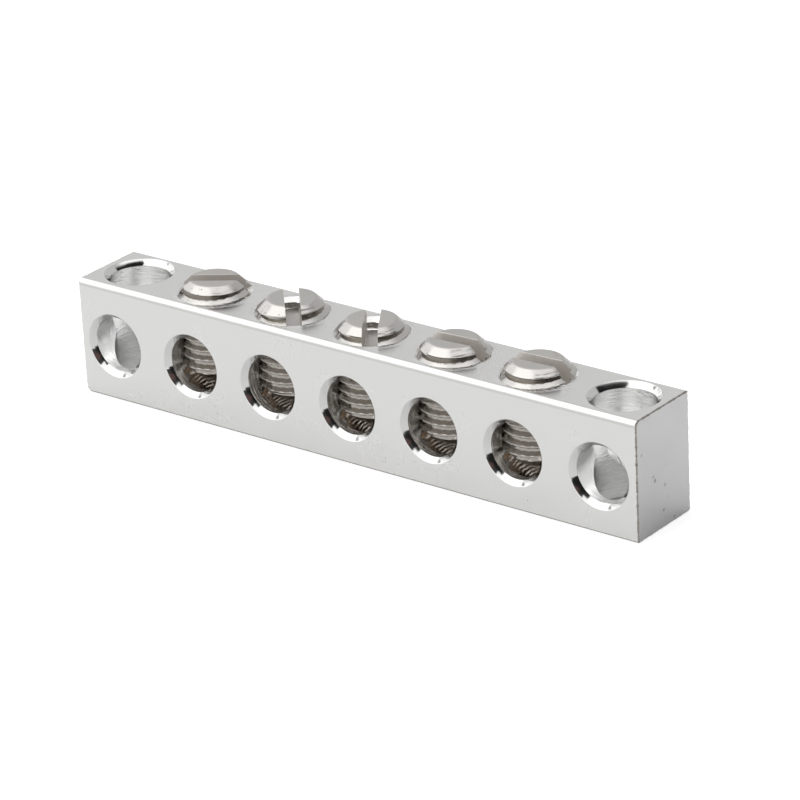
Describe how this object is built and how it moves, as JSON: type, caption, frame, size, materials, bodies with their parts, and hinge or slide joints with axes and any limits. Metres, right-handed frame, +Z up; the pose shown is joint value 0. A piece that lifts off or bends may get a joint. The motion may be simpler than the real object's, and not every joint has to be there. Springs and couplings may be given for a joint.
{
  "type": "neutral terminal bar",
  "caption": "Plated brass bar with a row of cross holes for wires, slotted set screws that clamp them from above, and free holes at both ends for fixing it.",
  "frame": {"origin": "centre of the bar's underside", "axes": "+X along the bar, from the left end to the right end as found; +Y from the front face, where the wires enter, to the back face; +Z up, the way the screws come out"},
  "size_m": [0.055, 0.007, 0.0112],
  "materials": {
    "plated_brass": "bright nickel or tin plate over brass, so silver in colour",
    "nickel_plated_steel": "darker nickel plate over steel"
  },
  "bodies": {
    "bar": {"terminal_bar": "plated_brass"},
    "screw_1": {"terminal_screw_1": "nickel_plated_steel"},
    "screw_2": {"terminal_screw_2": "nickel_plated_steel"},
    "screw_3": {"terminal_screw_3": "nickel_plated_steel"},
    "screw_4": {"terminal_screw_4": "nickel_plated_steel"},
    "screw_5": {"terminal_screw_5": "nickel_plated_steel"}
  },
  "joints": [
    {"name": "screw_1_travel", "type": "slide", "parent": "bar", "child": "screw_1", "axis": [0, 0, 1], "range_m": [-0.0008, 0.004]},
    {"name": "screw_2_travel", "type": "slide", "parent": "bar", "child": "screw_2", "axis": [0, 0, 1], "range_m": [-0.0008, 0.004]},
    {"name": "screw_3_travel", "type": "slide", "parent": "bar", "child": "screw_3", "axis": [0, 0, 1], "range_m": [-0.0008, 0.004]},
    {"name": "screw_4_travel", "type": "slide", "parent": "bar", "child": "screw_4", "axis": [0, 0, 1], "range_m": [-0.0008, 0.004]},
    {"name": "screw_5_travel", "type": "slide", "parent": "bar", "child": "screw_5", "axis": [0, 0, 1], "range_m": [-0.0008, 0.004]}
  ]
}
